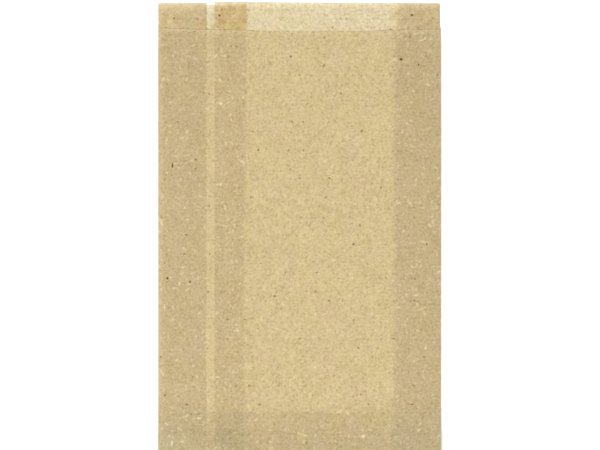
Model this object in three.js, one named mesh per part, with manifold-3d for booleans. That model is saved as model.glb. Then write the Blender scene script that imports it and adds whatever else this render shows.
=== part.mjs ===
import * as THREE from 'three';
import { mergeVertices } from 'three/addons/utils/BufferGeometryUtils.js';
import Module from 'manifold-3d';

// A flat bakery bag with side gussets, folded and glued from one sheet of thin paper.
// Millimetres. The bag lies on its back: X runs across it, +Y towards its mouth and +Z up out of its front.

// Driving dimensions of the bag
const BAG_WIDTH = 150;
const BAG_LENGTH = 240;
const GUSSET_DEPTH = 25.4;
// One stepped cut leaves the lip at this bag's mouth and the tongue at the next bag's bottom.
const CUT_STEP = 13.6;
const TURN_UP = 22.4;
const SEAM_FROM_GUSSET = 4.5;
const SEAM_OVERLAP = 16;
const MOUTH_SKEW = 0.8;

// The paper, and how closely its plies lie together
const PAPER_THICKNESS = 0.12;
const PLY_GAP = 0.2;
const DRAPE_WIDTH = 8;
const FLAP_CLIMB = 1.5;
const EDGE_CLEARANCE = 0.5;
const PLIES_SETTLE = 5;
const TONGUE_SETTLE = 3;

// How far each glued patch stays inside the edges that it holds
const GLUE_INSET = 2.5;

// Straight steps along each curved stretch
const FOLD_STEPS = 4;
const DRAPE_STEPS = 4;
const SETTLE_STEPS = 4;
const TURN_STEPS = 10;

// Ply levels, counted up from the back. A gusset has four plies, and between the gussets the front sinks
// onto the back and onto its seam.
const BACK_LEVEL = 0;
const FLAP_LEVEL = 1;
const FRONT_ON_BACK_LEVEL = 1;
const FRONT_ON_SEAM_LEVEL = 2;
const FRONT_LEVEL = 3;
const PLY_PITCH = PAPER_THICKNESS + PLY_GAP;
const FOLD_RADIUS = PLY_PITCH / 2;
const levelZ = (level) => PAPER_THICKNESS / 2 + level * PLY_PITCH;

// Places across the bag
const SIDE_X = BAG_WIDTH / 2;
const SIDE_FOLD_X = SIDE_X - PAPER_THICKNESS / 2 - FOLD_RADIUS;
const GUSSET_X = SIDE_X - GUSSET_DEPTH;
const GUSSET_FOLD_X = GUSSET_X + PAPER_THICKNESS / 2 + FOLD_RADIUS;
const DRAPE_X = GUSSET_X - EDGE_CLEARANCE;
const UPPER_FLAP_X = -GUSSET_X + SEAM_FROM_GUSSET;
const LOWER_FLAP_X = UPPER_FLAP_X + SEAM_OVERLAP;
const CLIMB_X = LOWER_FLAP_X + EDGE_CLEARANCE;

// Places along the bag. Its bottom is turned up, on the back, about an axis at AXIS_Y and AXIS_Z.
const MOUTH_Y = BAG_LENGTH / 2;
const FRONT_EDGE_Y = MOUTH_Y - MOUTH_SKEW - CUT_STEP;
const BOTTOM_Y = -BAG_LENGTH / 2;
const TONGUE_END_Y = BOTTOM_Y + TURN_UP;
const PLIES_END_Y = TONGUE_END_Y - CUT_STEP;
const AXIS_Z = levelZ(FRONT_LEVEL) + PAPER_THICKNESS / 2 + PLY_GAP / 2;
const AXIS_Y = BOTTOM_Y + AXIS_Z;
const TONGUE_LIFT = PLY_PITCH;
const TURN_UP_LIFT = AXIS_Z + PLY_GAP / 2;

// The paper's section, as stretches from the seam's upper flap round to its lower flap
const UPPER_FLAP = 'upper flap and right half of the back';
const LOWER_FLAP = 'lower flap';
const GUSSET = 'gusset';
const FRONT_FOLD = 'fold between gusset and front';
const FRONT = 'front';

function smoothStep(share) {
  return share * share * (3 - 2 * share);
}

function sectionPoint(curve, share, stretch) {
  const point = curve.getPoint(share);
  const tangent = curve.getTangent(share);
  return { x: point.x, z: point.y, normalX: tangent.y, normalZ: -tangent.x, stretch };
}

// Draws the section's centre line and keeps its points, each with the normal out of the bag.
class SectionPen {
  constructor(x, level) {
    this.place = new THREE.Vector2(x, levelZ(level));
    this.points = [];
  }

  draw(curve, steps, stretch) {
    for (let i = 0; i < steps; i += 1) {
      this.points.push(sectionPoint(curve, i / steps, stretch));
    }
    this.place = curve.getPoint(1);
    this.end = sectionPoint(curve, 1, stretch);
  }

  flat(x, stretch) {
    const end = new THREE.Vector2(x, this.place.y);
    this.draw(new THREE.LineCurve(this.place, end), 1, stretch);
  }

  drape(x, level, stretch) {
    const end = new THREE.Vector2(x, levelZ(level));
    const middle = (this.place.x + x) / 2;
    const leaving = new THREE.Vector2(middle, this.place.y);
    const arriving = new THREE.Vector2(middle, end.y);
    this.draw(new THREE.CubicBezierCurve(this.place, leaving, arriving, end), DRAPE_STEPS, stretch);
  }

  // A fold up (1) or down (-1) by one level, outward at a side and inward in a gusset
  fold(up, inward, stretch) {
    const start = -up * Math.PI / 2;
    const end = inward ? start - Math.PI : start + Math.PI;
    const centreZ = this.place.y + up * FOLD_RADIUS;
    const arc = new THREE.EllipseCurve(
      this.place.x, centreZ, FOLD_RADIUS, FOLD_RADIUS, start, end, inward
    );
    this.draw(arc, FOLD_STEPS, stretch);
  }

  finished() {
    return [...this.points, this.end];
  }
}

function bagSection() {
  const pen = new SectionPen(UPPER_FLAP_X, FLAP_LEVEL);
  pen.flat(CLIMB_X, UPPER_FLAP);
  pen.drape(CLIMB_X + FLAP_CLIMB, BACK_LEVEL, UPPER_FLAP);
  pen.flat(SIDE_FOLD_X, UPPER_FLAP);
  pen.fold(1, false, GUSSET);
  pen.flat(GUSSET_FOLD_X, GUSSET);
  pen.fold(1, true, GUSSET);
  pen.flat(SIDE_FOLD_X, GUSSET);
  pen.fold(1, false, FRONT_FOLD);
  pen.flat(DRAPE_X, FRONT);
  pen.drape(DRAPE_X - DRAPE_WIDTH, FRONT_ON_BACK_LEVEL, FRONT);
  pen.flat(CLIMB_X + FLAP_CLIMB, FRONT);
  pen.drape(CLIMB_X, FRONT_ON_SEAM_LEVEL, FRONT);
  pen.flat(UPPER_FLAP_X, FRONT);
  pen.drape(-DRAPE_X, FRONT_LEVEL, FRONT);
  pen.flat(-SIDE_FOLD_X, FRONT);
  pen.fold(-1, false, FRONT_FOLD);
  pen.flat(-GUSSET_FOLD_X, GUSSET);
  pen.fold(-1, true, GUSSET);
  pen.flat(-SIDE_FOLD_X, GUSSET);
  pen.fold(-1, false, GUSSET);
  pen.flat(LOWER_FLAP_X, LOWER_FLAP);
  return pen.finished();
}

// A level strip of glue between the centres of the seam's two flaps
function glueSection() {
  const z = levelZ(FLAP_LEVEL) - FOLD_RADIUS;
  const edges = [UPPER_FLAP_X + GLUE_INSET, LOWER_FLAP_X - GLUE_INSET];
  return edges.map((x) => ({ x, z, normalX: 0, normalZ: -1 }));
}

// The tube was closed slightly askew: from the gussets, its cut edge climbs along the upper flap and falls
// along the lower one, so that the two ends of the edge miss each other at the seam.
function mouthDrop(point) {
  if (point.stretch === UPPER_FLAP) {
    return MOUTH_SKEW * (point.x - UPPER_FLAP_X) / (SIDE_X - UPPER_FLAP_X);
  }
  if (point.stretch === LOWER_FLAP) {
    return MOUTH_SKEW * (1 + (point.x + SIDE_X) / (LOWER_FLAP_X + SIDE_X));
  }
  return MOUTH_SKEW;
}

// Rows across the sheet. Each one places a section point, moved along its normal by an offset.
function bodyRow(y, lift) {
  return (point, offset) =>
    new THREE.Vector3(point.x + offset * point.normalX, y, point.z + offset * point.normalZ + lift);
}

function mouthRow(point, offset) {
  return bodyRow(MOUTH_Y - mouthDrop(point), 0)(point, offset);
}

function turnRow(angle) {
  return (point, offset) => {
    const reach = PLY_GAP / 2 + point.z + offset * point.normalZ;
    const y = AXIS_Y - reach * Math.sin(angle);
    return new THREE.Vector3(point.x + offset * point.normalX, y, AXIS_Z + reach * Math.cos(angle));
  };
}

function turnedUpRow(y, settled) {
  return (point, offset) => {
    const stackedZ = AXIS_Z - PLY_GAP / 2 - point.z;
    const z = THREE.MathUtils.lerp(stackedZ, levelZ(BACK_LEVEL), settled);
    return new THREE.Vector3(point.x + offset * point.normalX, y, z - offset * point.normalZ);
  };
}

// Rows down a smooth ramp, as many as SETTLE_STEPS, with the last one at its end
function settlingRows(startY, endY, rowAt) {
  return Array.from({ length: SETTLE_STEPS }, (_, i) => {
    const share = (i + 1) / SETTLE_STEPS;
    return rowAt(THREE.MathUtils.lerp(startY, endY, share), smoothStep(share));
  });
}

// From startY down to the turned-up bottom, over the tongue's end and then over the other plies' ends
function bodyRows(startY) {
  const tongueClearY = TONGUE_END_Y + EDGE_CLEARANCE;
  const pliesClearY = PLIES_END_Y + EDGE_CLEARANCE;
  const ontoTongue = (y, share) => bodyRow(y, share * TONGUE_LIFT);
  const ontoPlies = (y, share) =>
    bodyRow(y, THREE.MathUtils.lerp(TONGUE_LIFT, TURN_UP_LIFT, share));
  return [
    bodyRow(startY, 0),
    bodyRow(tongueClearY + TONGUE_SETTLE, 0),
    ...settlingRows(tongueClearY + TONGUE_SETTLE, tongueClearY, ontoTongue),
    bodyRow(pliesClearY + PLIES_SETTLE, TONGUE_LIFT),
    ...settlingRows(pliesClearY + PLIES_SETTLE, pliesClearY, ontoPlies),
  ];
}

function turnRows() {
  return Array.from({ length: TURN_STEPS + 1 }, (_, i) => turnRow(i / TURN_STEPS * Math.PI));
}

function tongueRows() {
  return [
    ...settlingRows(PLIES_END_Y, PLIES_END_Y + PLIES_SETTLE, turnedUpRow),
    turnedUpRow(TONGUE_END_Y, 1),
  ];
}

// A closed mesh of paper between both faces of points × rows. covers says which cells hold paper.
function sheetMesh(points, rows, thickness, covers) {
  const faces = [thickness / 2, -thickness / 2];
  const corners = faces.flatMap((offset) =>
    rows.flatMap((row) => points.map((point) => row(point, offset)))
  );
  const faceSize = rows.length * points.length;
  const outer = ([i, j]) => j * points.length + i;
  const inner = (corner) => outer(corner) + faceSize;
  const triangles = [];
  const quad = (a, b, c, d) => triangles.push(a, b, c, a, c, d);

  const hasPaper = (i, j) =>
    i >= 0 && j >= 0 && i < points.length - 1 && j < rows.length - 1 && covers(points[i].stretch, j);

  const addCell = (i, j) => {
    const cell = [[i, j], [i + 1, j], [i + 1, j + 1], [i, j + 1]];
    const beside = [[i, j - 1], [i + 1, j], [i, j + 1], [i - 1, j]];
    quad(...cell.map(outer));
    quad(...cell.map(inner).reverse());
    beside.forEach(([nextI, nextJ], k) => {
      if (!hasPaper(nextI, nextJ)) {
        const start = cell[k];
        const end = cell[(k + 1) % cell.length];
        quad(outer(end), outer(start), inner(start), inner(end));
      }
    });
  };

  for (let j = 0; j < rows.length - 1; j += 1) {
    for (let i = 0; i < points.length - 1; i += 1) {
      if (hasPaper(i, j)) {
        addCell(i, j);
      }
    }
  }
  return { positions: corners.flatMap((corner) => corner.toArray()), triangles };
}

// The lip has no front, and the tongue has nothing else.
function paperMesh() {
  const body = bodyRows(FRONT_EDGE_Y);
  const tube = [...body, ...turnRows(), turnedUpRow(PLIES_END_Y, 0)];
  const tongue = tongueRows();
  const rows = [mouthRow, ...tube, ...tongue];
  const covers = (stretch, j) => {
    if (j < 1) {
      return stretch !== FRONT && stretch !== FRONT_FOLD;
    }
    return j < tube.length || stretch === FRONT;
  };
  return sheetMesh(bagSection(), rows, PAPER_THICKNESS, covers);
}

function seamGlueMesh() {
  const startY = MOUTH_Y - 2 * MOUTH_SKEW - GLUE_INSET;
  const rows = [...bodyRows(startY), ...turnRows(), turnedUpRow(PLIES_END_Y - GLUE_INSET, 0)];
  return sheetMesh(glueSection(), rows, PLY_PITCH, () => true);
}

// Glue between the centres of the tongue and of the back's lowest ply, where both lie flat
function tongueGlueMesh() {
  const startY = PLIES_END_Y + EDGE_CLEARANCE + PLIES_SETTLE;
  const endY = TONGUE_END_Y - GLUE_INSET;
  const box = new THREE.BoxGeometry(2 * (SIDE_X - GLUE_INSET), endY - startY, PLY_PITCH);
  box.translate(0, (startY + endY) / 2, levelZ(FLAP_LEVEL) - FOLD_RADIUS);
  box.deleteAttribute('normal');
  box.deleteAttribute('uv');
  const merged = mergeVertices(box);
  return { positions: merged.attributes.position.array, triangles: merged.index.array };
}

const wasm = await Module();
wasm.setup();

function toSolid({ positions, triangles }) {
  const mesh = new wasm.Mesh({
    numProp: 3,
    vertProperties: new Float32Array(positions),
    triVerts: new Uint32Array(triangles),
  });
  return new wasm.Manifold(mesh);
}

function toGeometry(solid) {
  const mesh = solid.getMesh();
  const geometry = new THREE.BufferGeometry();
  geometry.setAttribute('position', new THREE.BufferAttribute(mesh.vertProperties, mesh.numProp));
  geometry.setIndex(new THREE.BufferAttribute(mesh.triVerts, 1));
  geometry.computeVertexNormals();
  return geometry;
}

const glued = toSolid(paperMesh()).add(toSolid(seamGlueMesh())).add(toSolid(tongueGlueMesh()));

const paper = new THREE.MeshStandardMaterial({ color: 0xd6c091, roughness: 0.9, metalness: 0 });
const bag = new THREE.Mesh(toGeometry(glued), paper);
bag.name = 'bag';

const group = new THREE.Group();
group.add(bag);

export default group;
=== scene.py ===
import math
from typing import NamedTuple

import bpy
import numpy as np
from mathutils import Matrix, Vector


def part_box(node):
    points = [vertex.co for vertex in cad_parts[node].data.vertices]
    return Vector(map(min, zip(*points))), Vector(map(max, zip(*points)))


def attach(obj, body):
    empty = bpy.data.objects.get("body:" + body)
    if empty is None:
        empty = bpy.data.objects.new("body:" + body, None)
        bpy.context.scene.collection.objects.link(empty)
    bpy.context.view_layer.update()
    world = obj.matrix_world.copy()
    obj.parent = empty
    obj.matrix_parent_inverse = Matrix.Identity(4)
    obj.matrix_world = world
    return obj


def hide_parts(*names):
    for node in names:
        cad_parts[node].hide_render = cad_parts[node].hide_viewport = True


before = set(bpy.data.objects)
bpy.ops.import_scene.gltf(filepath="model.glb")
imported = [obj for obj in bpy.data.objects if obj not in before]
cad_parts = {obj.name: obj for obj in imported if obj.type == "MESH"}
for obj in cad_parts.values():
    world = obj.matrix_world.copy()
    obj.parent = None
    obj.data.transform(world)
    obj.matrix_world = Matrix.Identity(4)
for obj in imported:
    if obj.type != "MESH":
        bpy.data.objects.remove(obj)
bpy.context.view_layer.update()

# A flat bakery bag of thin recycled paper, lying on its back with the front up.
# The sheet is worked out in millimetres and written to the mesh in metres.

BAG_LOW, BAG_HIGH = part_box("bag")
MM = 0.001

# Sizes of the bag, as in the part's source
SIDE_X = BAG_HIGH[0] / MM
MOUTH_Y = BAG_HIGH[1] / MM
BOTTOM_Y = BAG_LOW[1] / MM
GUSSET_DEPTH = 25.4
CUT_STEP = 13.6
TURN_UP = 22.4
SEAM_FROM_GUSSET = 4.5
SEAM_OVERLAP = 16.0
MOUTH_SKEW = 0.8
PAPER = 0.12
PLY_GAP = 0.2
PLY_PITCH = PAPER + PLY_GAP
FOLD_RADIUS = PLY_PITCH / 2
EDGE_CLEARANCE = 0.5
FLAP_CLIMB = 1.5
DRAPE_WIDTH = 12.0
SEAM_DRAPE_WIDTH = 6.0
PLIES_SETTLE = 5.0
TONGUE_SETTLE = 3.0
BACK_LEVEL = 0
FLAP_LEVEL = 1
FRONT_ON_BACK_LEVEL = 1
FRONT_ON_SEAM_LEVEL = 2
FRONT_LEVEL = 3

# Places worked out from them
SIDE_FOLD_X = SIDE_X - PAPER / 2 - FOLD_RADIUS
GUSSET_X = SIDE_X - GUSSET_DEPTH
GUSSET_FOLD_X = GUSSET_X + PAPER / 2 + FOLD_RADIUS
DRAPE_X = GUSSET_X - EDGE_CLEARANCE
UPPER_FLAP_X = -GUSSET_X + SEAM_FROM_GUSSET
LOWER_FLAP_X = UPPER_FLAP_X + SEAM_OVERLAP
CLIMB_X = LOWER_FLAP_X + EDGE_CLEARANCE
FRONT_EDGE_Y = MOUTH_Y - MOUTH_SKEW - CUT_STEP
TONGUE_END_Y = BOTTOM_Y + TURN_UP
PLIES_END_Y = TONGUE_END_Y - CUT_STEP
SETTLED_FROM_Y = TONGUE_END_Y + TONGUE_SETTLE
SETTLED_OVER = 40.0
AXIS_Z = FRONT_LEVEL * PLY_PITCH + PAPER + PLY_GAP / 2
AXIS_Y = BOTTOM_Y + AXIS_Z
TONGUE_LIFT = PLY_PITCH
TURN_UP_LIFT = AXIS_Z + PLY_GAP / 2

# Spacing of the mesh
ACROSS_STEP = 2.4
ALONG_STEP = 3.0
EDGE_STEP = 0.8
FOLD_STEPS = 6
SETTLE_STEPS = 7
TURN_STEPS = 14
LIP_ROWS = 9
LEAST_DRAPE_STEPS = 6
SHARP_ANGLE = 50.0

# Stretches of the section, by how far each one runs along the bag, and the column that says which
UPPER_FLAP, GUSSET, FRONT_FOLD, FRONT, LOWER_FLAP = range(5)
STRETCH = 4

# Waves of the whole bag and the loose spread of its plies, each drawn by chance from its seed
WAVE_COUNT = 7
SHORTEST_WAVE, LONGEST_WAVE = 0.75, 1.6
WAVE_HEIGHT = 0.3
WAVE_LENGTH = 85.0
WAVE_SEED = 3
WAVE_AT_EDGES = 0.15
WAVE_GROWS_FROM_SIDE = 20.0
WAVE_GROWS_FROM_MOUTH = 25.0
SPREAD = 0.45
SPREAD_LENGTH = 60.0
SPREAD_SEED = 11
SPREAD_MOST = 1.4
SPREAD_AT_BOTTOM = 0.3
SPREAD_GROWS_FROM_Y = -40.0
SPREAD_GROWS_OVER = 160.0

# The front's cut edge: how it bows and drops, as seen from above, and how it curls up
EDGE_BOW = 0.93
EDGE_BOW_X = 8.0
EDGE_BOW_WIDTH = 30.0
EDGE_BOW_REACH = 18.0
EDGE_DROP = 0.95
EDGE_DROP_WIDTH = 36.0
EDGE_DROP_FROM_X = -SIDE_X - 6
EDGE_CURL = 0.07
EDGE_CURL_REACH = 4.0
EDGE_CURL_FROM_SIDE = 0.5
EDGE_CURL_GROWS_OVER = 1.5

# The lip: how it curls, how far its right side is tucked in, and how its cut edge wiggles
LIP_CURL = 0.12
LIP_TUCK = 0.5
LIP_TUCK_ENDS = 0.75
CUT_WIGGLE = 0.07
CUT_WIGGLE_LENGTH = 3.2
CUT_WIGGLE_SEED = 23
STRETCHES_APART = 7

# The lower flap's edge runs askew, by this much for each mm along the bag
FLAP_LEAN = 0.01
FLAP_LEAN_REACH = 12.0

# How closely the plies are pressed near the mouth: all of them, and the front between its gussets
MOUTH_PRESS = 0.42
FRONT_PRESS = 0.18
PRESS_REACH = 14.0
PRESSED_FROM_X = LOWER_FLAP_X + 2
PRESSED_FROM_OVER = 6.0
PRESSED_TO_X = GUSSET_X - 8
PRESSED_TO_OVER = 8.0


def level_z(level):
    return PAPER / 2 + level * PLY_PITCH


def smooth_step(share):
    share = np.clip(share, 0.0, 1.0)
    return share * share * (3 - 2 * share)


class SectionPen:
    """Draws the section's centre line as rows of x, z, normal x, normal z and stretch."""

    def __init__(self, x, level):
        self.x = x
        self.z = level_z(level)
        self.rows = []

    def _draw(self, xs, zs, normals_x, normals_z, stretch):
        for i in range(len(xs) - 1):
            self.rows.append((xs[i], zs[i], normals_x[i], normals_z[i], stretch))
        self.x, self.z = xs[-1], zs[-1]
        self.end = (xs[-1], zs[-1], normals_x[-1], normals_z[-1], stretch)

    def flat(self, x, stretch):
        steps = max(1, round(abs(x - self.x) / ACROSS_STEP))
        xs = np.linspace(self.x, x, steps + 1)
        self._slope(xs, np.full(steps + 1, self.z), stretch)

    def drape(self, x, level, stretch):
        steps = max(LEAST_DRAPE_STEPS, round(abs(x - self.x) / ACROSS_STEP))
        xs = np.linspace(self.x, x, steps + 1)
        share = smooth_step(np.linspace(0, 1, steps + 1))
        self._slope(xs, self.z + (level_z(level) - self.z) * share, stretch)

    def _slope(self, xs, zs, stretch):
        tangent_x = np.gradient(xs)
        tangent_z = np.gradient(zs)
        length = np.hypot(tangent_x, tangent_z)
        self._draw(xs, zs, tangent_z / length, -tangent_x / length, stretch)

    def fold(self, up, inward, stretch):
        start = -up * math.pi / 2
        turn = -math.pi if inward else math.pi
        angles = start + turn * np.linspace(0, 1, FOLD_STEPS + 1)
        centre_z = self.z + up * FOLD_RADIUS
        xs = self.x + FOLD_RADIUS * np.cos(angles)
        zs = centre_z + FOLD_RADIUS * np.sin(angles)
        side = -1 if inward else 1
        self._draw(xs, zs, side * np.cos(angles), side * np.sin(angles), stretch)

    def finished(self):
        return np.array(self.rows + [self.end])


def bag_section():
    pen = SectionPen(UPPER_FLAP_X, FLAP_LEVEL)
    pen.flat(CLIMB_X, UPPER_FLAP)
    pen.drape(CLIMB_X + FLAP_CLIMB, BACK_LEVEL, UPPER_FLAP)
    pen.flat(SIDE_FOLD_X, UPPER_FLAP)
    pen.fold(1, False, GUSSET)
    pen.flat(GUSSET_FOLD_X, GUSSET)
    pen.fold(1, True, GUSSET)
    pen.flat(SIDE_FOLD_X, GUSSET)
    pen.fold(1, False, FRONT_FOLD)
    pen.flat(DRAPE_X, FRONT)
    pen.drape(DRAPE_X - DRAPE_WIDTH, FRONT_ON_BACK_LEVEL, FRONT)
    pen.flat(CLIMB_X + SEAM_DRAPE_WIDTH, FRONT)
    pen.drape(CLIMB_X, FRONT_ON_SEAM_LEVEL, FRONT)
    pen.flat(UPPER_FLAP_X, FRONT)
    pen.drape(-DRAPE_X, FRONT_LEVEL, FRONT)
    pen.flat(-SIDE_FOLD_X, FRONT)
    pen.fold(-1, False, FRONT_FOLD)
    pen.flat(-GUSSET_FOLD_X, GUSSET)
    pen.fold(-1, True, GUSSET)
    pen.flat(-SIDE_FOLD_X, GUSSET)
    pen.fold(-1, False, GUSSET)
    pen.flat(LOWER_FLAP_X, LOWER_FLAP)
    return pen.finished()


def waves(x, y, length, seed):
    """A smooth surface between about -1 and 1, from waves of about one length in all directions."""
    random = np.random.RandomState(seed)
    total = np.zeros(np.broadcast(x, y).shape)
    for _ in range(WAVE_COUNT):
        heading = random.uniform(0, math.pi)
        number = 2 * math.pi / (length * random.uniform(SHORTEST_WAVE, LONGEST_WAVE))
        phase = random.uniform(0, 2 * math.pi)
        total += np.sin(number * (x * math.cos(heading) + y * math.sin(heading)) + phase)
    return total / math.sqrt(2 * WAVE_COUNT)


def above_bottom(y):
    """0 over the turned-up bottom, 1 on the rest of the bag."""
    return smooth_step((y - SETTLED_FROM_Y) / SETTLED_OVER)


def flap_lean(x, y):
    """How far the plies beside the lower flap's edge lie to the right, as that edge runs askew."""
    near = smooth_step(1 - np.abs(x - LOWER_FLAP_X) / FLAP_LEAN_REACH)
    return FLAP_LEAN * y * near * above_bottom(y)


def paper_wave(x, y):
    """How far the whole bag lifts off the surface under it."""
    from_side = smooth_step((SIDE_X - np.abs(x)) / WAVE_GROWS_FROM_SIDE)
    from_mouth = smooth_step((MOUTH_Y - y) / WAVE_GROWS_FROM_MOUTH)
    inside = WAVE_AT_EDGES + (1 - WAVE_AT_EDGES) * from_side * from_mouth
    lift = WAVE_HEIGHT * (waves(x, y, WAVE_LENGTH, WAVE_SEED) + 1)
    return lift * inside * above_bottom(y)


def ply_spread(x, y):
    """How much wider than pressed flat the plies stand apart."""
    towards_mouth = smooth_step((y - SPREAD_GROWS_FROM_Y) / SPREAD_GROWS_OVER)
    growth = SPREAD_AT_BOTTOM + (1 - SPREAD_AT_BOTTOM) * towards_mouth
    loose = (1 + waves(x, y, SPREAD_LENGTH, SPREAD_SEED)) / 2
    return SPREAD * np.clip(loose, 0, SPREAD_MOST) * growth * above_bottom(y)


def pressed_front(x):
    """1 between the seam and the right gusset, where the front lies close on the back."""
    past_seam = smooth_step((x - PRESSED_FROM_X) / PRESSED_FROM_OVER)
    before_gusset = smooth_step((PRESSED_TO_X - x) / PRESSED_TO_OVER)
    return past_seam * before_gusset


def mouth_press(x, y):
    """How much closer together than usual the plies lie at the mouth."""
    near = smooth_step((y - FRONT_EDGE_Y + PRESS_REACH) / PRESS_REACH)
    return near * (MOUTH_PRESS + FRONT_PRESS * pressed_front(x))


def front_edge_curl(section, y):
    """The front's cut edge lifts a little, but not at its folds nor where it is pressed down."""
    x = section[:, 0]
    on_front = section[:, STRETCH] == FRONT
    near_edge = smooth_step(1 - (FRONT_EDGE_Y - y) / EDGE_CURL_REACH)
    inside = smooth_step((SIDE_X - EDGE_CURL_FROM_SIDE - np.abs(x)) / EDGE_CURL_GROWS_OVER)
    return EDGE_CURL * on_front * near_edge * inside * (1 - pressed_front(x))


def front_edge_bow(x):
    """The front's cut edge drops away from its left end and bows down between the gussets."""
    bow = EDGE_BOW * smooth_step((GUSSET_X - np.abs(x - EDGE_BOW_X)) / EDGE_BOW_WIDTH)
    return bow + EDGE_DROP * (smooth_step((x - EDGE_DROP_FROM_X) / EDGE_DROP_WIDTH) - 0.5)


def mouth_drop(section):
    """How far below the mouth's highest point the cut lies. Each stretch has its own wiggle."""
    x = section[:, 0]
    stretch = section[:, STRETCH]
    drop = np.full(len(x), MOUTH_SKEW)
    on_upper = MOUTH_SKEW * (x - UPPER_FLAP_X) / (SIDE_X - UPPER_FLAP_X)
    on_lower = MOUTH_SKEW * (1 + np.clip((x + SIDE_X) / GUSSET_DEPTH, 0, 1))
    drop = np.where(stretch == UPPER_FLAP, on_upper, drop)
    drop = np.where(stretch == LOWER_FLAP, on_lower, drop)
    wiggle = waves(x, STRETCHES_APART * stretch, CUT_WIGGLE_LENGTH, CUT_WIGGLE_SEED)
    return drop + CUT_WIGGLE * (1 + wiggle)


def place_body(section, offset, y, lift):
    """Where the section's points lie at y, moved along their normals by offset."""
    x, z, normal_x, normal_z = section[:, :STRETCH].T
    above_back = (z - PAPER / 2) * (1 + ply_spread(x, y)) * (1 - mouth_press(x, y))
    centre = PAPER / 2 + above_back + lift + paper_wave(x, y)
    place_x = x + flap_lean(x, y) + offset * normal_x
    return np.column_stack([place_x, y, centre + offset * normal_z])


def lip_row(share):
    """A row of the lip, from the mouth's cut edge at 0 to the front's edge at 1."""

    def place(section, offset):
        x = section[:, 0]
        top = MOUTH_Y - mouth_drop(section)
        bottom = FRONT_EDGE_Y - front_edge_bow(x)
        points = place_body(section, offset, top + (bottom - top) * share, 0)
        points[:, 2] += LIP_CURL * (1 - share) ** 2
        tuck = LIP_TUCK * (1 - smooth_step((share - LIP_TUCK_ENDS) / (1 - LIP_TUCK_ENDS)))
        points[:, 0] -= tuck * smooth_step((x - GUSSET_X) / GUSSET_DEPTH)
        return points

    return place


def body_row(y, lift):
    def place(section, offset):
        x = section[:, 0]
        fade = smooth_step(1 - (FRONT_EDGE_Y - y) / EDGE_BOW_REACH)
        curl = front_edge_curl(section, y)
        return place_body(section, offset, y - front_edge_bow(x) * fade, lift + curl)

    return place


def turn_row(angle):
    def place(section, offset):
        x, z, normal_x, normal_z = section[:, :STRETCH].T
        reach = PLY_GAP / 2 + z + offset * normal_z
        y = AXIS_Y - reach * math.sin(angle)
        return np.column_stack([x + offset * normal_x, y, AXIS_Z + reach * math.cos(angle)])

    return place


def turned_up_row(y, settled):
    def place(section, offset):
        x, z, normal_x, normal_z = section[:, :STRETCH].T
        stacked = AXIS_Z - PLY_GAP / 2 - z
        centre = stacked + (level_z(BACK_LEVEL) - stacked) * settled
        row_y = np.full(len(x), y)
        return np.column_stack([x + offset * normal_x, row_y, centre - offset * normal_z])

    return place


def settling_rows(start_y, end_y, row_at):
    shares = np.linspace(0, 1, SETTLE_STEPS + 1)[1:]
    return [row_at(start_y + (end_y - start_y) * share, smooth_step(share)) for share in shares]


def even_rows(start_y, end_y, row_at, step=ALONG_STEP):
    steps = max(1, round(abs(end_y - start_y) / step))
    return [row_at(y) for y in np.linspace(start_y, end_y, steps + 1)]


def lip_rows():
    return [lip_row(share) for share in np.linspace(0, 1, LIP_ROWS + 1)[:-1]]


def tube_rows():
    """From the front's edge down over the ends of the turned-up plies, and round the bottom."""
    curl_end = FRONT_EDGE_Y - EDGE_CURL_REACH
    tongue_clear = TONGUE_END_Y + EDGE_CLEARANCE
    tongue_near = tongue_clear + TONGUE_SETTLE
    plies_clear = PLIES_END_Y + EDGE_CLEARANCE
    plies_near = plies_clear + PLIES_SETTLE
    climb = TURN_UP_LIFT - TONGUE_LIFT

    def onto_tongue(y, share):
        return body_row(y, share * TONGUE_LIFT)

    def onto_plies(y, share):
        return body_row(y, TONGUE_LIFT + climb * share)

    rows = even_rows(FRONT_EDGE_Y, curl_end, lambda y: body_row(y, 0), EDGE_STEP)
    rows += even_rows(curl_end, tongue_near, lambda y: body_row(y, 0))[1:]
    rows += settling_rows(tongue_near, tongue_clear, onto_tongue)
    rows += even_rows(tongue_clear, plies_near, lambda y: body_row(y, TONGUE_LIFT))[1:]
    rows += settling_rows(plies_near, plies_clear, onto_plies)
    rows += even_rows(plies_clear, AXIS_Y, lambda y: body_row(y, TURN_UP_LIFT))[1:-1]
    rows += [turn_row(math.pi * step / TURN_STEPS) for step in range(TURN_STEPS + 1)]
    return rows + even_rows(AXIS_Y, PLIES_END_Y, lambda y: turned_up_row(y, 0))[1:]


def tongue_rows():
    settled_y = PLIES_END_Y + PLIES_SETTLE
    rows = settling_rows(PLIES_END_Y, settled_y, turned_up_row)
    return rows + even_rows(settled_y, TONGUE_END_Y, lambda y: turned_up_row(y, 1))[1:]


def sheet_rows():
    """The rows along the sheet, and where its tube starts and ends."""
    lip = lip_rows()
    tube = tube_rows()
    return lip + tube + tongue_rows(), len(lip), len(lip) + len(tube) - 1


def paper_cells(stretch, row_count, tube_start, tube_end):
    """Which cells of the grid hold paper: the lip has no front, and the tongue is front only."""
    cells = np.ones((row_count - 1, len(stretch) - 1), dtype=bool)
    columns = stretch[:-1]
    front_only = columns == FRONT
    front_or_fold = front_only | (columns == FRONT_FOLD)
    cells[:tube_start, front_or_fold] = False
    cells[tube_end:, ~front_only] = False
    return cells


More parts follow.
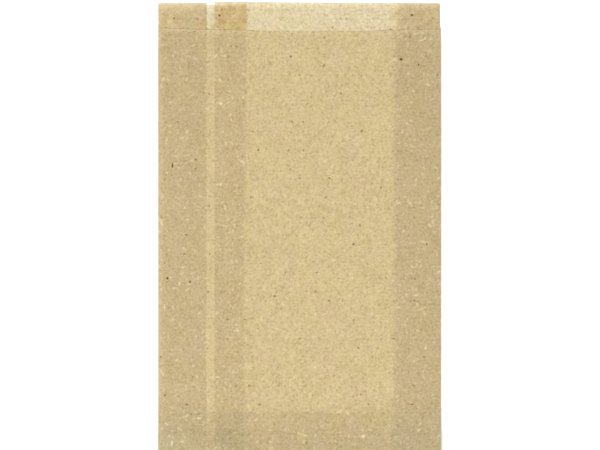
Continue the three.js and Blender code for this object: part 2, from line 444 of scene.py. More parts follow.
def sheet_faces(cells):
    """Quads of both faces of the sheet and of its cut edges, as corner numbers."""
    rows, columns = cells.shape
    width = columns + 1
    face_size = (rows + 1) * width

    def outer(i, j):
        return j * width + i

    def has_paper(i, j):
        return 0 <= i < columns and 0 <= j < rows and cells[j, i]

    faces = []
    for j, i in zip(*np.nonzero(cells)):
        i, j = int(i), int(j)
        corners = [outer(i, j), outer(i + 1, j), outer(i + 1, j + 1), outer(i, j + 1)]
        faces.append(corners)
        faces.append([corner + face_size for corner in reversed(corners)])
        beside = [(i, j - 1), (i + 1, j), (i, j + 1), (i - 1, j)]
        for k, neighbour in enumerate(beside):
            if not has_paper(*neighbour):
                start, end = corners[k], corners[(k + 1) % len(corners)]
                faces.append([end, start, start + face_size, end + face_size])
    return faces


def below_cut(points, front, tube_start):
    """How far each point of the sheet lies below the cut edge of its own ply at the mouth."""
    y = points[:, :, 1]
    top = np.where(front, y[tube_start], y[0])
    return top - y


def add_attribute(mesh, name, values):
    attribute = mesh.attributes.new(name, "FLOAT", "POINT")
    attribute.data.foreach_set("value", values.astype(np.float32))


def sheet_points(section, rows):
    """The points of the sheet's outer face and of its inner face, row by row."""
    return [np.array([row(section, offset) for row in rows]) for offset in (PAPER / 2, -PAPER / 2)]


def make_bag():
    section = bag_section()
    front = section[:, STRETCH] == FRONT
    rows, tube_start, tube_end = sheet_rows()
    cells = paper_cells(section[:, STRETCH], len(rows), tube_start, tube_end)
    faces = np.array(sheet_faces(cells))
    sides = sheet_points(section, rows)
    points = np.vstack([side.reshape(-1, 3) for side in sides]) * MM
    from_cut = np.concatenate([below_cut(side, front, tube_start).ravel() for side in sides])

    used = np.unique(faces.ravel())
    renumber = np.zeros(len(points), dtype=int)
    renumber[used] = np.arange(len(used))
    mesh = bpy.data.meshes.new("paper_bag")
    mesh.from_pydata(points[used].tolist(), [], renumber[faces].tolist())
    add_attribute(mesh, "front_ply", np.tile(front, 2 * len(rows))[used])
    add_attribute(mesh, "below_cut", from_cut[used])
    mesh.shade_smooth()
    mesh.set_sharp_from_angle(angle=math.radians(SHARP_ANGLE))
    mesh.update()

    bag = bpy.data.objects.new("paper_bag", mesh)
    bpy.context.collection.objects.link(bag)
    return bag


# The standard curve of sRGB screens: a straight start and a power above it
SCREEN_LEVELS = 255
STRAIGHT_TO = 0.04045
STRAIGHT_SLOPE = 12.92
CURVE_OFFSET = 0.055
CURVE_POWER = 2.4


def srgb(red, green, blue):
    """A colour as shown on screen, from 0 to 255, as linear light."""
    shown = np.array([red, green, blue]) / SCREEN_LEVELS
    curved = ((shown + CURVE_OFFSET) / (1 + CURVE_OFFSET)) ** CURVE_POWER
    linear = np.where(shown <= STRAIGHT_TO, shown / STRAIGHT_SLOPE, curved)
    return (*linear.tolist(), 1.0)


class Nodes:
    """Adds nodes to a material. A value is a number, a vector or another node's output."""

    def __init__(self, name):
        self.material = bpy.data.materials.new(name)
        self.material.use_nodes = True
        self.tree = self.material.node_tree
        self.tree.nodes.clear()

    def add(self, kind, inputs=None, **settings):
        node = self.tree.nodes.new(kind)
        for name, value in settings.items():
            setattr(node, name, value)
        for key, value in (inputs or {}).items():
            self.feed(node.inputs[key], value)
        return node

    def feed(self, socket, value):
        if isinstance(value, bpy.types.NodeSocket):
            self.tree.links.new(value, socket)
        else:
            socket.default_value = value

    def math(self, operation, first, second=0.0):
        return self.add("ShaderNodeMath", {0: first, 1: second}, operation=operation).outputs[0]

    def total(self, first, *others):
        for other in others:
            first = self.math("ADD", first, other)
        return first

    def product(self, first, *others):
        for other in others:
            first = self.math("MULTIPLY", first, other)
        return first

    def but_not(self, value, mask):
        return self.math("MULTIPLY", value, self.math("SUBTRACT", 1.0, mask))

    def vector(self, operation, first, second=(0, 0, 0), third=(0, 0, 0)):
        inputs = {0: first, 1: second, 2: third}
        return self.add("ShaderNodeVectorMath", inputs, operation=operation).outputs[0]

    def scaled(self, vector, scale):
        inputs = {0: vector, "Scale": scale}
        return self.add("ShaderNodeVectorMath", inputs, operation="SCALE").outputs[0]

    def length(self, vector):
        return self.add("ShaderNodeVectorMath", {0: vector}, operation="LENGTH").outputs["Value"]

    def rise(self, value, start, end, low=0.0, high=1.0):
        """low before start, high past end, smooth between. start may be over end."""
        inputs = {"Value": value, "From Min": start, "From Max": end, "To Min": low, "To Max": high}
        node = self.add("ShaderNodeMapRange", inputs, interpolation_type="SMOOTHSTEP")
        return node.outputs["Result"]

    def blend(self, share, low, high):
        """low where share is 0, high where it is 1."""
        return self.total(self.product(share, high - low), low)

    def turned(self, vector, angle):
        inputs = {"Vector": vector, "Angle": angle}
        return self.add("ShaderNodeVectorRotate", inputs, rotation_type="Z_AXIS").outputs[0]

    def between(self, value, start, end, soft):
        """1 from start to end, 0 outside them, with each end as soft as given."""
        risen = self.rise(value, start - soft, start + soft)
        return self.but_not(risen, self.rise(value, end - soft, end + soft))

    def noise(self, position, scale, kind):
        """Noise about 0, mostly between -0.3 and 0.3."""
        inputs = {"Vector": position, "Scale": scale, **kind}
        node = self.add("ShaderNodeTexNoise", inputs, noise_dimensions="3D")
        return self.math("SUBTRACT", node.outputs["Fac"], 0.5)

    def attribute(self, name):
        return self.add("ShaderNodeAttribute", attribute_name=name).outputs["Fac"]

    def tinted(self, colour, amount, tone):
        """A colour moved by amount in each channel, as strongly as tone says for that channel."""
        amounts = self.add("ShaderNodeCombineXYZ", {0: amount, 1: amount, 2: amount}).outputs[0]
        step = self.vector("MULTIPLY_ADD", amounts, tone, (1, 1, 1))
        return self.vector("MULTIPLY", colour, step)


class Flecks(NamedTuple):
    """Small ovals scattered by chance, in mm. share is how many cells of one spacing hold one."""

    spacing: float
    share: float
    length: float
    width: float
    faintest: float = 1.0
    strongest: float = 1.0


class Mark(NamedTuple):
    """A speck or fleck that stands out in the photograph, in mm on the bag and degrees."""

    x: float
    y: float
    length: float
    width: float
    heading: float
    strength: float


# Ovals run from full strength at their core to none at their rim, as shares of their half length
OVAL_CORE = 0.35
OVAL_RIM = 1.3
SMALLEST_OVAL = 0.5
FEW_ARE_STRONG = 3.0


def oval(nodes, away, length, width, size=1.0):
    """1 in the middle of an oval, 0 outside it. away is the place seen from its middle."""
    reach = nodes.length(nodes.vector("MULTIPLY", away, (2 / length, 2 / width, 0)))
    return nodes.rise(nodes.math("DIVIDE", reach, size), OVAL_RIM, OVAL_CORE)


def flecks(nodes, position, kind):
    """The scattered ovals of one kind, as a mask that is 0 outside them."""
    inputs = {"Vector": position, "Scale": 1 / kind.spacing}
    cells = nodes.add("ShaderNodeTexVoronoi", inputs, voronoi_dimensions="2D", feature="F1")
    random = nodes.add("ShaderNodeSeparateColor", {0: cells.outputs["Color"]})
    heading, chance, size = random.outputs
    away = nodes.vector("SUBTRACT", position, cells.outputs["Position"])
    away = nodes.turned(away, nodes.product(heading, math.pi))
    ovals = oval(nodes, away, kind.length, kind.width, nodes.total(size, SMALLEST_OVAL))
    chosen = nodes.math("LESS_THAN", chance, kind.share)
    luck = nodes.math("POWER", nodes.product(chance, 1 / kind.share), FEW_ARE_STRONG)
    strength = nodes.total(nodes.product(luck, kind.strongest - kind.faintest), kind.faintest)
    return nodes.product(ovals, chosen, strength)


def marks(nodes, position, chosen):
    """The ovals of a list of marks, as one mask."""
    masks = []
    for mark in chosen:
        away = nodes.vector("SUBTRACT", position, (mark.x, mark.y, 0))
        away = nodes.turned(away, -math.radians(mark.heading))
        masks.append(nodes.product(oval(nodes, away, mark.length, mark.width), mark.strength))
    return nodes.total(*masks)


# How softly the plies and folds underneath show through, in mm either side of their real place
FRONT_EDGE_BLUR = 1.0
LEFT_FOLD_BLUR = 1.1
LEFT_FOLD_BLUR_IN_LIP = 0.3
RIGHT_FOLD_BEFORE = 1.2
RIGHT_FOLD_PAST = 4.2
RIGHT_FOLD_PAST_IN_LIP = 6.8
UPPER_FLAP_BLUR = 0.35
LOWER_FLAP_BLUR = 1.0
LOWER_FLAP_TOP_BLUR = 0.9
OVERLAP_ABOVE_LOWER_FLAP = 0.25
GAP_BLUR = 0.8
LIP_FADES_OVER = 2.5
TONGUE_BLUR = 1.2
TURNED_UP_BLUR = 3.0

# From few plies to many, the look of the paper changes
FEW_PLIES, MANY_PLIES = 2.1, 3.2


class Plies:
    """Where the plies that show through lie, each as a mask from 0 to 1, and how many there are."""

    def __init__(self, nodes, x, y, on_front):
        self.find_gussets(nodes, x, y)
        self.find_seam(nodes, x, y)
        self.find_ends(nodes, y, on_front)
        self.count_plies(nodes)

    def find_gussets(self, nodes, x, y):
        """Their inner folds show sharply in the left of the lip and softly elsewhere."""
        in_lip = nodes.rise(y, FRONT_EDGE_Y - FRONT_EDGE_BLUR, FRONT_EDGE_Y + FRONT_EDGE_BLUR)
        left_blur = nodes.rise(in_lip, 0, 1, LEFT_FOLD_BLUR, LEFT_FOLD_BLUR_IN_LIP)
        left_past = nodes.math("DIVIDE", nodes.total(x, GUSSET_X), left_blur)
        right_past = nodes.rise(in_lip, 0, 1, RIGHT_FOLD_PAST, RIGHT_FOLD_PAST_IN_LIP)
        right_end = nodes.total(right_past, GUSSET_X)
        self.left_gusset = nodes.rise(left_past, 1, -1)
        self.right_gusset = nodes.rise(x, GUSSET_X - RIGHT_FOLD_BEFORE, right_end)
        self.gussets = nodes.total(self.left_gusset, self.right_gusset)

    def find_seam(self, nodes, x, y):
        """The overlap of the seam's flaps, and the gap between it and the left gusset."""
        past_upper = nodes.rise(x, UPPER_FLAP_X - UPPER_FLAP_BLUR, UPPER_FLAP_X + UPPER_FLAP_BLUR)
        settled = nodes.rise(y, SETTLED_FROM_Y, SETTLED_FROM_Y + SETTLED_OVER)
        straight = nodes.math("SUBTRACT", x, nodes.product(y, FLAP_LEAN, settled))
        lower_start = LOWER_FLAP_X + LOWER_FLAP_BLUR
        before_lower = nodes.rise(straight, lower_start, LOWER_FLAP_X - LOWER_FLAP_BLUR)
        lower_flap_top = MOUTH_Y - 2 * MOUTH_SKEW
        top_start = lower_flap_top + LOWER_FLAP_TOP_BLUR
        top_end = lower_flap_top - LOWER_FLAP_TOP_BLUR
        below_its_top = nodes.rise(y, top_start, top_end, OVERLAP_ABOVE_LOWER_FLAP, 1.0)
        self.overlap = nodes.product(past_upper, before_lower, below_its_top)
        self.gap = nodes.between(x, -GUSSET_X, UPPER_FLAP_X, GAP_BLUR)

    def find_ends(self, nodes, y, on_front):
        """The front and the lip at the mouth, the tongue and the turned-up plies at the bottom."""
        under_edge = nodes.rise(y, FRONT_EDGE_Y, FRONT_EDGE_Y - LIP_FADES_OVER)
        self.front = nodes.math("MAXIMUM", on_front, under_edge)
        self.lip = nodes.but_not(1.0, self.front)
        self.tongue = nodes.rise(y, TONGUE_END_Y + TONGUE_BLUR, TONGUE_END_Y - TONGUE_BLUR)
        self.turned_up = nodes.rise(y, PLIES_END_Y + TURNED_UP_BLUR, PLIES_END_Y - TURNED_UP_BLUR)

    def count_plies(self, nodes):
        """A gusset has two plies of its own. The turned-up bottom has all but the front again."""
        inner = nodes.total(nodes.product(self.gussets, 2.0), self.overlap, 1.0)
        tube = nodes.total(inner, self.front)
        self.count = nodes.total(tube, self.tongue, nodes.product(self.turned_up, inner))
        self.many = nodes.rise(self.count, FEW_PLIES, MANY_PLIES)


# The colour on screen by how many plies lie there, as a few let the pale ground show through
PLY_COLOURS = [
    (1, (226, 209, 168)),
    (2, (214, 192, 144)),
    (3, (204, 181.5, 136.5)),
    (4, (200.5, 179, 135.5)),
    (5, (198, 178, 136)),
    (8, (196, 178, 136)),
]
MOST_PLIES = 10

# How far one step of tone moves red, green and blue. EVEN_TONE moves them about alike on screen
EVEN_TONE = (1.0, 1.16, 1.5)
BOTTOM_TONE = (1.0, 0.9, 1.0)
YELLOW_TONE = (-0.08, 0.04, -1.0)
ROSE_TONE = (1.0, -0.6, 0.6)
BROWN_GLUE_TONE = (-0.085, -0.165, -0.29)
YELLOW_GLUE_TONE = (-0.065, -0.08, -0.27)
SPECK_TONE = (-0.8, -0.87, -0.95)
PALE_MARK_TONE = (0.52, 0.64, 1.0)

# Noise in the pulp: waves per mm, how strongly each one shows, and its two kinds
GRAIN_SCALE = 0.8
GRAIN_TONE = 0.62
LUMP_SCALE = 0.36
LUMP_TONE = 0.16
LIP_LUMP_TONE = 0.1
CLOUD_SCALE = 0.1
CLOUD_TONE = 0.15
YELLOW_SCALE = 0.085
ROSE_SCALE = 0.11
SOFT_NOISE = {"Detail": 1.0, "Roughness": 0.5}
FINE_NOISE = {"Detail": 2.0, "Roughness": 0.6}
OTHER_PLACE = (500, 0, 0)

# The paper's surface
PAPER_ROUGHNESS = 0.9
PAPER_SPECULAR = 0.2
BUMP_STRENGTH = 0.25
BUMP_HEIGHT = 0.05

# Dark spots and pale flecks of the pulp, with their tone on few plies and on many
SPOTS = Flecks(spacing=2.3, share=0.6, length=1.5, width=1.0)
SPOT_TONE_FEW, SPOT_TONE_MANY = -0.14, -0.12
PALE_FLECKS = Flecks(spacing=3.1, share=0.5, length=2.0, width=1.0, faintest=0.7, strongest=1.9)
PALE_TONE_FEW, PALE_TONE_MANY = 0.07, 0.185
STREAKS = Flecks(spacing=11.0, share=0.4, length=4.2, width=1.1)
STREAK_TONE_FEW, STREAK_TONE_MANY = 0.06, 0.25
SPECKS = Flecks(spacing=5.0, share=0.3, length=1.3, width=0.8, faintest=0.15, strongest=0.85)

PLAIN_SPECKS = [
    Mark(x=-67.4, y=33.1, length=3.0, width=1.1, heading=90, strength=1.0),
    Mark(x=-70.1, y=-26.7, length=1.6, width=1.4, heading=60, strength=1.0),
    Mark(x=-13.2, y=-36.2, length=1.6, width=1.3, heading=0, strength=0.75),
    Mark(x=-4.7, y=91.1, length=1.6, width=1.3, heading=70, strength=0.7),
    Mark(x=-4.0, y=103.2, length=1.1, width=1.0, heading=0, strength=0.5),
    Mark(x=53.9, y=89.5, length=1.8, width=1.7, heading=0, strength=1.0),
    Mark(x=-42.5, y=112.8, length=1.5, width=1.5, heading=0, strength=1.0),
    Mark(x=-54.1, y=111.0, length=1.3, width=1.3, heading=0, strength=0.45),
    Mark(x=59.7, y=113.0, length=1.7, width=1.4, heading=0, strength=0.9),
    Mark(x=48.3, y=105.6, length=1.8, width=0.8, heading=0, strength=0.6),
    Mark(x=-55.7, y=104.3, length=1.8, width=0.6, heading=0, strength=0.6),
    Mark(x=-58.7, y=103.6, length=1.5, width=0.9, heading=20, strength=0.35),
    Mark(x=61.3, y=-27.1, length=1.2, width=1.0, heading=0, strength=0.5),
]
PLAIN_FLECKS = [
    Mark(x=-67.6, y=-114.1, length=3.4, width=1.3, heading=90, strength=1.1),
    Mark(x=-60.4, y=-100.0, length=3.9, width=1.3, heading=22, strength=0.65),
    Mark(x=-53.8, y=-101.1, length=2.8, width=1.0, heading=65, strength=0.2),
    Mark(x=33.9, y=-110.4, length=2.6, width=2.2, heading=20, strength=0.75),
    Mark(x=33.7, y=-107.2, length=2.2, width=1.2, heading=80, strength=0.4),
    Mark(x=51.0, y=89.4, length=2.6, width=2.2, heading=0, strength=0.4),
    Mark(x=69.9, y=100.4, length=2.0, width=1.9, heading=30, strength=0.45),
    Mark(x=53.5, y=63.0, length=1.8, width=1.0, heading=80, strength=0.6),
    Mark(x=62.4, y=-40.5, length=1.9, width=1.7, heading=0, strength=0.6),
]


def colour_of_plies(nodes, count):
    node = nodes.add("ShaderNodeValToRGB", {0: nodes.product(count, 1 / MOST_PLIES)})
    ramp = node.color_ramp
    while len(ramp.elements) < len(PLY_COLOURS):
        ramp.elements.new(0.5)
    for element, (plies, shown) in zip(ramp.elements, PLY_COLOURS):
        element.position = plies / MOST_PLIES
        element.color = srgb(*shown)
    return node.outputs["Color"]


def fibre_tone(nodes, position, grain, plies):
    """The recycled pulp: grain, soft dark spots and pale flecks, plainest where plies are many."""
    lumps = nodes.noise(position, LUMP_SCALE, SOFT_NOISE)
    clouds = nodes.noise(position, CLOUD_SCALE, FINE_NOISE)
    on_many = nodes.product(plies.many, plies.front)
    spot_tone = nodes.blend(plies.many, SPOT_TONE_FEW, SPOT_TONE_MANY)
    pale_tone = nodes.blend(on_many, PALE_TONE_FEW, PALE_TONE_MANY)
    streak_tone = nodes.blend(on_many, STREAK_TONE_FEW, STREAK_TONE_MANY)
    return nodes.total(
        nodes.product(grain, GRAIN_TONE),
        nodes.product(lumps, LUMP_TONE),
        nodes.product(clouds, CLOUD_TONE),
        nodes.product(lumps, plies.lip, LIP_LUMP_TONE),
        nodes.product(flecks(nodes, position, SPOTS), spot_tone),
        nodes.product(flecks(nodes, position, PALE_FLECKS), pale_tone),
        nodes.product(flecks(nodes, position, STREAKS), streak_tone),
    )


# How strongly the pulp's hue changes on most of the bag, and plainly in its lip and its bottom
YELLOW_CHANGE, YELLOW_CHANGE_PLAIN = 0.2, 0.26
ROSE_CHANGE, ROSE_CHANGE_PLAIN = 0.018, 0.09


def hues(nodes, position, plies):
    """Slow changes of the pulp's hue, towards yellow and towards rose."""
    plain = nodes.math("MAXIMUM", plies.lip, plies.tongue)
    yellow = nodes.noise(position, YELLOW_SCALE, SOFT_NOISE)
    elsewhere = nodes.vector("ADD", position, OTHER_PLACE)
    rose = nodes.noise(elsewhere, ROSE_SCALE, SOFT_NOISE)
    return (
        nodes.product(yellow, nodes.blend(plain, YELLOW_CHANGE, YELLOW_CHANGE_PLAIN)),
        nodes.product(rose, nodes.blend(plain, ROSE_CHANGE, ROSE_CHANGE_PLAIN)),
    )


# Paler rims of the cut edges and side folds, a painted highlight where they catch the light: how
# far they reach, in mm, and their tone
LIP_HIGHLIGHT_FROM, LIP_HIGHLIGHT_TO = -0.6, 4.2
LIP_HIGHLIGHT_TONE, LIP_HIGHLIGHT_TONE_ON_GUSSETS = 0.18, 0.3
FRONT_HIGHLIGHT_FROM, FRONT_HIGHLIGHT_TO = 0.1, 2.5
FRONT_HIGHLIGHT_TONE, FRONT_HIGHLIGHT_TONE_ON_MANY = 0.025, 0.155
LEFT_HIGHLIGHT_REACH, LEFT_HIGHLIGHT_TONE = 4.5, 0.12
RIGHT_HIGHLIGHT_REACH, RIGHT_HIGHLIGHT_TONE = 2.0, 0.03
HIGHLIGHT_BEYOND = 0.5

# Tone of whole areas
OVERALL_TONE = 0.032
LIP_TONE = 0.02
RIGHT_GUSSET_TONE = -0.015
GUSSET_TOP_TONE = -0.02
OVERLAP_TONE = -0.018
GAP_TONE_AT_MOUTH, GAP_TONE_AT_BOTTOM = 0.01, 0.05


def edge_highlight_tone(nodes, x, below_cut, plies):
    """Painted highlights: paper made paler along its cut edges and folds, where they catch the
    light.
    """
    lip_highlight = nodes.rise(below_cut, LIP_HIGHLIGHT_TO, LIP_HIGHLIGHT_FROM)
    lip_highlight_tone = nodes.blend(plies.gussets, LIP_HIGHLIGHT_TONE, LIP_HIGHLIGHT_TONE_ON_GUSSETS)
    front_highlight = nodes.rise(below_cut, FRONT_HIGHLIGHT_TO, FRONT_HIGHLIGHT_FROM)
    raised = nodes.math("MAXIMUM", plies.many, plies.gap)
    front_highlight_tone = nodes.blend(raised, FRONT_HIGHLIGHT_TONE, FRONT_HIGHLIGHT_TONE_ON_MANY)
    left_highlight = nodes.rise(x, -SIDE_X + LEFT_HIGHLIGHT_REACH, -SIDE_X - HIGHLIGHT_BEYOND)
    right_highlight = nodes.rise(x, SIDE_X - RIGHT_HIGHLIGHT_REACH, SIDE_X + HIGHLIGHT_BEYOND)
    return nodes.total(
        nodes.product(lip_highlight, lip_highlight_tone, plies.lip),
        nodes.product(front_highlight, front_highlight_tone, plies.front),
        nodes.product(left_highlight, LEFT_HIGHLIGHT_TONE),
        nodes.product(right_highlight, RIGHT_HIGHLIGHT_TONE),
    )


def area_tone(nodes, y, plies):
    top = nodes.rise(y, 0, FRONT_EDGE_Y)
    gap_tone = nodes.rise(y, MOUTH_Y, BOTTOM_Y, GAP_TONE_AT_MOUTH, GAP_TONE_AT_BOTTOM)
    return nodes.total(
        nodes.product(plies.lip, LIP_TONE),
        nodes.product(plies.right_gusset, RIGHT_GUSSET_TONE),
        nodes.product(plies.gussets, top, plies.front, GUSSET_TOP_TONE),
        nodes.product(plies.overlap, plies.front, OVERLAP_TONE),
        nodes.product(plies.gap, gap_tone),
        OVERALL_TONE,
    )


# The glue under the turned-up bottom: its tones, and the patch where it shows most
TONGUE_TONE = -0.028
TURNED_UP_TONE = -0.026
TURNED_UP_LEFT_TONE = 0.03
GLUED_SEAM_TONE = -0.035
GLUED_GAP_TONE = -0.045
PATCH_TONE = -0.06
PATCH_BLUR = 1.5
PATCH_X = (-46.0, -32.0)
PATCH_Y = (-113.0, -107.0)


def bottom_tone(nodes, x, y, plies):
    """The glue under the turned-up bottom darkens it, most in one patch on the seam."""
    seam = nodes.between(x, UPPER_FLAP_X, LOWER_FLAP_X, GAP_BLUR)
    patch_across = nodes.between(x, *PATCH_X, PATCH_BLUR)
    patch_along = nodes.between(y, *PATCH_Y, PATCH_BLUR)
    return nodes.total(
        nodes.product(plies.tongue, TONGUE_TONE),
        nodes.product(plies.turned_up, TURNED_UP_TONE),
        nodes.product(plies.turned_up, plies.left_gusset, TURNED_UP_LEFT_TONE),
        nodes.product(plies.tongue, seam, GLUED_SEAM_TONE),
        nodes.product(plies.turned_up, plies.gap, GLUED_GAP_TONE),
        nodes.product(patch_across, patch_along, PATCH_TONE),
    )


# The seam's glue at the mouth: how ragged the stain is, where it fades, and its yellow lower band
STAIN_SCALE = 0.16
STAIN_RAGGED_X = 9.0
STAIN_RAGGED_Y = 6.0
STAIN_FADES_X = (1.5, 4.5)
STAIN_FAINTEST = 0.25
STAIN_BLOTCHES_FROM, STAIN_BLOTCHES_TO = -0.2, 0.15
STAIN_BLOTCHES = (0.55, 1.2)
YELLOW_BAND = (4.5, 2.5)
FAINT_STAIN_X = (-57.0, -49.6)
FAINT_STAIN_TOP = 110.3
FAINT_STAIN = 0.25


def glue_stains(nodes, position, x, y, plies):
    """Glue shows at the mouth as a brown stain, yellow at its lower end, and faintly beside it."""
    uneven = nodes.noise(position, STAIN_SCALE, FINE_NOISE)
    ragged_x = nodes.total(x, nodes.product(uneven, STAIN_RAGGED_X), -UPPER_FLAP_X)
    ragged_y = nodes.total(y, nodes.product(uneven, STAIN_RAGGED_Y), -FRONT_EDGE_Y)
    across = nodes.rise(ragged_x, *STAIN_FADES_X, STAIN_FAINTEST, 1.0)
    blotches = nodes.rise(uneven, STAIN_BLOTCHES_FROM, STAIN_BLOTCHES_TO, *STAIN_BLOTCHES)
    stain = nodes.product(across, blotches, plies.lip, plies.overlap)
    yellow = nodes.rise(ragged_y, *YELLOW_BAND)
    faint_across = nodes.between(x, *FAINT_STAIN_X, GAP_BLUR)
    faint_up = nodes.rise(y, FAINT_STAIN_TOP + GAP_BLUR, FAINT_STAIN_TOP - GAP_BLUR)
    faint = nodes.product(faint_across, faint_up, plies.lip, FAINT_STAIN)
    return nodes.but_not(stain, yellow), nodes.total(nodes.product(stain, yellow), faint)


# A crease in the left of the lip, in painted light and shade: its bend, how it runs from there, and
# the lit and shaded facets beside it
CREASE_X, CREASE_Y = -68.2, 111.9
CREASE_SLOPE = 0.75
FACET_SLOPE = 0.71
CREASE_REACH = 5.0
CREASE_ENDS_OVER = 1.0
CREASE_HALF_WIDTH = 0.35
CREASE_BLUR = 0.35
# Painted shade along the crease, and painted highlights on its lit facets
CREASE_SHADE_TONE = -0.1
FACET_HIGHLIGHT_TONE = 0.12
UPPER_HIGHLIGHT_TONE = 0.07
SHADED_TO_X = -57.0
SHADED_BLUR = 1.5
SHADED_TONE = -0.04


def crease_shading(nodes, x, y, plies):
    """A crease with a bend in it, as painted shade along its line, a painted highlight on one side
    and painted shade on the other.
    """
    right = nodes.total(x, -CREASE_X)
    down = nodes.math("SUBTRACT", CREASE_Y, y)
    away = nodes.math("ABSOLUTE", down)
    past = nodes.total(right, nodes.product(away, -CREASE_SLOPE))
    below = nodes.rise(down, -CREASE_BLUR, CREASE_BLUR)
    near = nodes.rise(away, CREASE_REACH + CREASE_ENDS_OVER, CREASE_REACH)
    line = nodes.between(past, -CREASE_HALF_WIDTH, CREASE_HALF_WIDTH, CREASE_BLUR)
    past_left = nodes.total(right, nodes.product(down, FACET_SLOPE))
    inside = nodes.rise(past_left, -CREASE_BLUR, CREASE_BLUR)
    outside = nodes.rise(past, -CREASE_BLUR, CREASE_BLUR)
    lit_facet = nodes.product(nodes.but_not(inside, outside), below)
    beside = nodes.rise(x, SHADED_TO_X + SHADED_BLUR, SHADED_TO_X - SHADED_BLUR)
    lit_upper = nodes.but_not(beside, below)
    shaded = nodes.product(nodes.rise(past, 0, SHADED_BLUR), beside, below)
    tone = nodes.total(
        nodes.product(line, near, CREASE_SHADE_TONE),
        nodes.product(lit_facet, FACET_HIGHLIGHT_TONE),
        nodes.product(lit_upper, UPPER_HIGHLIGHT_TONE),
        nodes.product(shaded, SHADED_TONE),
    )
    return nodes.product(tone, plies.lip)


def paper_colour(nodes, position, grain):
    """The paper's colour all over the bag: that of its plies, tinted by all that shows on them, and
    by painted highlights and painted shade at its edges, folds and crease.
    """
    x, y, _ = nodes.add("ShaderNodeSeparateXYZ", {0: position}).outputs
    plies = Plies(nodes, x, y, nodes.attribute("front_ply"))
    tone = nodes.total(
        fibre_tone(nodes, position, grain, plies),
        # Painted highlights along the cut edges and side folds
        edge_highlight_tone(nodes, x, nodes.attribute("below_cut"), plies),
        area_tone(nodes, y, plies),
        # Painted light and shade of the crease in the lip
        crease_shading(nodes, x, y, plies),
    )
    yellow, rose = hues(nodes, position, plies)
    brown_glue, yellow_glue = glue_stains(nodes, position, x, y, plies)
    specks = nodes.total(flecks(nodes, position, SPECKS), marks(nodes, position, PLAIN_SPECKS))
    tints = [
        (tone, EVEN_TONE),
        (bottom_tone(nodes, x, y, plies), BOTTOM_TONE),
        (yellow, YELLOW_TONE),
        (rose, ROSE_TONE),
        (brown_glue, BROWN_GLUE_TONE),
        (yellow_glue, YELLOW_GLUE_TONE),
        (marks(nodes, position, PLAIN_FLECKS), PALE_MARK_TONE),
        (specks, SPECK_TONE),
    ]
    colour = colour_of_plies(nodes, plies.count)
    for amount, channels in tints:
        colour = nodes.tinted(colour, amount, channels)
    return colour


def paper_material():
    nodes = Nodes("recycled_paper")
    place = nodes.add("ShaderNodeTexCoord").outputs["Object"]
    position = nodes.scaled(place, 1 / MM)
    grain = nodes.noise(position, GRAIN_SCALE, FINE_NOISE)
    bump_inputs = {"Strength": BUMP_STRENGTH, "Distance": BUMP_HEIGHT * MM, "Height": grain}
    bump = nodes.add("ShaderNodeBump", bump_inputs)
    surface = {
        "Base Color": paper_colour(nodes, position, grain),
        "Roughness": PAPER_ROUGHNESS,
        "Specular IOR Level": PAPER_SPECULAR,
        "Normal": bump.outputs[0],
    }
    shader = nodes.add("ShaderNodeBsdfPrincipled", surface)
    output = nodes.add("ShaderNodeOutputMaterial")
    nodes.tree.links.new(shader.outputs[0], output.inputs[0])
    return nodes.material


# Camera: straight down, with the photograph's frame around the bag's upper surface
FRAME_WIDTH = 318.3
FOCAL_LENGTH = 100.0
SENSOR_WIDTH = 36.0
VIEW_CENTRE = (0.27, 1.57)
UPPER_SURFACE = 1.2


def add_camera():
    data = bpy.data.cameras.new("camera")
    data.lens = FOCAL_LENGTH
    data.sensor_width = SENSOR_WIDTH
    camera = bpy.data.objects.new("camera", data)
    distance = FRAME_WIDTH * FOCAL_LENGTH / SENSOR_WIDTH + UPPER_SURFACE
    camera.location = (VIEW_CENTRE[0] * MM, VIEW_CENTRE[1] * MM, distance * MM)
    bpy.context.collection.objects.link(camera)
    bpy.context.scene.camera = camera


# Light: an even white sky and one large soft lamp, in metres and watts
SKY = 0.66
LAMP_PLACE = (-1.1, -1.1, 2.0)
LAMP_SIZE = 1.4
LAMP_POWER = 27.5

# The floor, in metres: plain white to the camera, and pale for the light that it throws back
SCREEN_WHITE = 1.5
FLOOR_COLOUR = 0.8
FLOOR_HALF = 3.0
FLOOR_Z = -0.0002


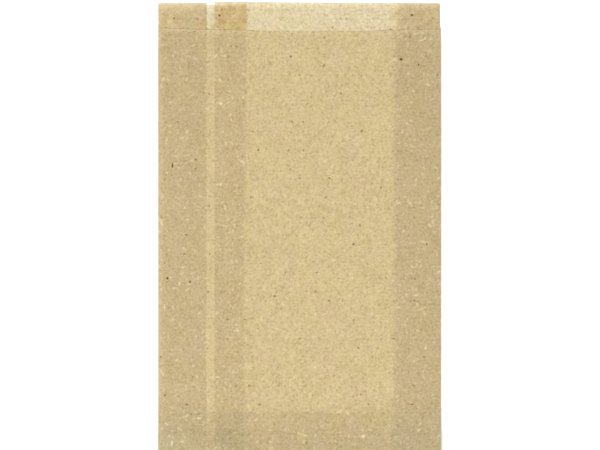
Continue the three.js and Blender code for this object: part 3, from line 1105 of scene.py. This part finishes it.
def seen_directly(nodes):
    """1 for the camera, glossy and transmitted rays, that see the background as plain white."""
    path = nodes.add("ShaderNodeLightPath").outputs
    seen = nodes.math("MAXIMUM", path["Is Camera Ray"], path["Is Glossy Ray"])
    return nodes.math("MAXIMUM", seen, path["Is Transmission Ray"])


class WorldNodes(Nodes):
    def __init__(self, world):
        world.use_nodes = True
        self.tree = world.node_tree
        self.tree.nodes.clear()


def add_sky():
    world = bpy.data.worlds.new("sky")
    bpy.context.scene.world = world
    nodes = WorldNodes(world)
    strength = nodes.rise(seen_directly(nodes), 0, 1, SKY, 1.0)
    background = nodes.add("ShaderNodeBackground", {"Color": (1, 1, 1, 1), "Strength": strength})
    output = nodes.add("ShaderNodeOutputWorld")
    nodes.tree.links.new(background.outputs[0], output.inputs[0])


def add_lamp():
    data = bpy.data.lights.new("lamp", "AREA")
    data.size = LAMP_SIZE
    data.energy = LAMP_POWER
    lamp = bpy.data.objects.new("lamp", data)
    lamp.location = LAMP_PLACE
    direction = -lamp.location
    lamp.rotation_euler = direction.to_track_quat("-Z", "Y").to_euler()
    bpy.context.collection.objects.link(lamp)


def floor_material():
    nodes = Nodes("floor")
    white = nodes.rise(seen_directly(nodes), 0, 1, FLOOR_COLOUR, SCREEN_WHITE)
    colour = nodes.add("ShaderNodeCombineColor", {0: white, 1: white, 2: white}).outputs[0]
    shader = nodes.add("ShaderNodeBsdfDiffuse", {"Color": colour})
    output = nodes.add("ShaderNodeOutputMaterial")
    nodes.tree.links.new(shader.outputs[0], output.inputs[0])
    return nodes.material


def add_floor():
    signs = [(-1, -1), (1, -1), (1, 1), (-1, 1)]
    corners = [(sign_x * FLOOR_HALF, sign_y * FLOOR_HALF, FLOOR_Z) for sign_x, sign_y in signs]
    mesh = bpy.data.meshes.new("floor")
    mesh.from_pydata(corners, [], [(0, 1, 2, 3)])
    mesh.materials.append(floor_material())
    floor = bpy.data.objects.new("floor", mesh)
    bpy.context.collection.objects.link(floor)


add_camera()
add_sky()
add_lamp()
add_floor()

bag = make_bag()
bag.data.materials.append(paper_material())
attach(bag, "root")
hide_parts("bag")

bpy.context.scene.view_settings.view_transform = "Standard"
